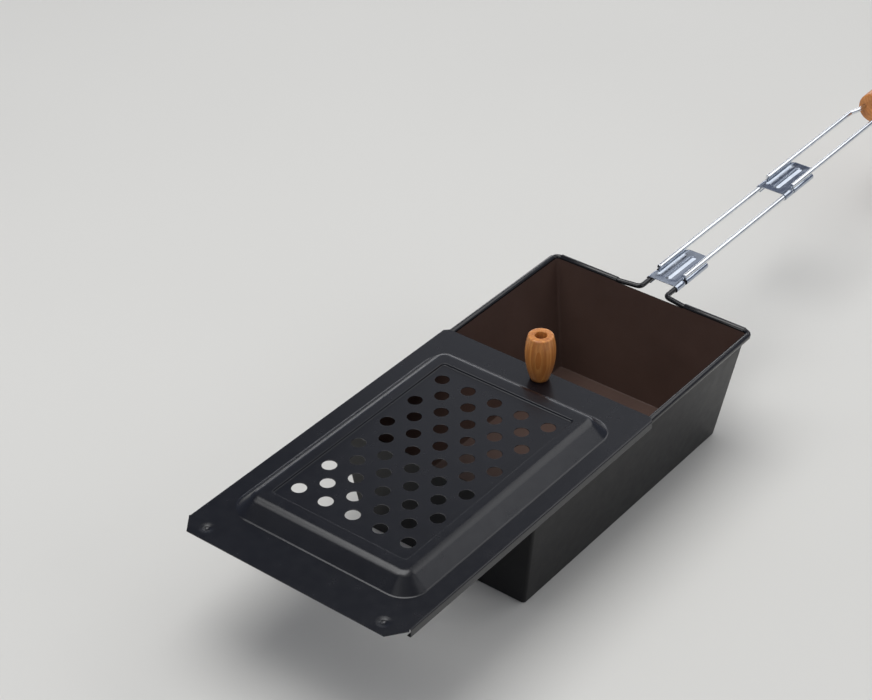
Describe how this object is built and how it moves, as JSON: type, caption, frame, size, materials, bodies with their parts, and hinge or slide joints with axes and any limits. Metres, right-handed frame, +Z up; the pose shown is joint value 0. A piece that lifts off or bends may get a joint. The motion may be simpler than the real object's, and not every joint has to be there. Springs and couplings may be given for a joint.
{
  "type": "campfire popcorn popper",
  "caption": "Flared sheet-metal pan with a rolled rim, a perforated domed lid that slides along it, and a plug-together wire handle with a turned wooden grip, for popping corn over a fire.",
  "frame": {"origin": "centre of the pan's flat bottom, on the table", "axes": "+X from the pan along the handle to the grip, +Y to the left, +Z up"},
  "size_m": [0.6926, 0.1428, 0.1032],
  "materials": {
    "black_coating": "satin black non-stick coating on steel sheet",
    "lid_coating": "satin black non-stick coating on steel sheet",
    "knob_wood": "turned and clear lacquered",
    "grip_wood": "turned and clear lacquered",
    "fastener_steel": "plated",
    "zinc_plate": "bright zinc plate"
  },
  "bodies": {
    "pan": {"pan_body": "black_coating", "rim_wire": "black_coating"},
    "lid": {"lid_panel": "lid_coating", "lid_knob": "knob_wood", "knob_screw": "fastener_steel", "knob_washer": "fastener_steel", "knob_nut": "fastener_steel"},
    "extension": {"extension_wire": "zinc_plate", "extension_clip": "zinc_plate"},
    "grip": {"grip_wire": "zinc_plate", "grip_clip": "zinc_plate", "wooden_grip": "grip_wood"}
  },
  "joints": [
    {"name": "lid_slide", "type": "slide", "parent": "pan", "child": "lid", "axis": [1, 0, 0], "range_m": [-0.0927, 0.1059]},
    {"name": "extension_pull", "type": "slide", "parent": "pan", "child": "extension", "axis": [1, 0, 0], "range_m": [0, 0.03]},
    {"name": "grip_pull", "type": "slide", "parent": "extension", "child": "grip", "axis": [1, 0, 0], "range_m": [0, 0.03]}
  ]
}
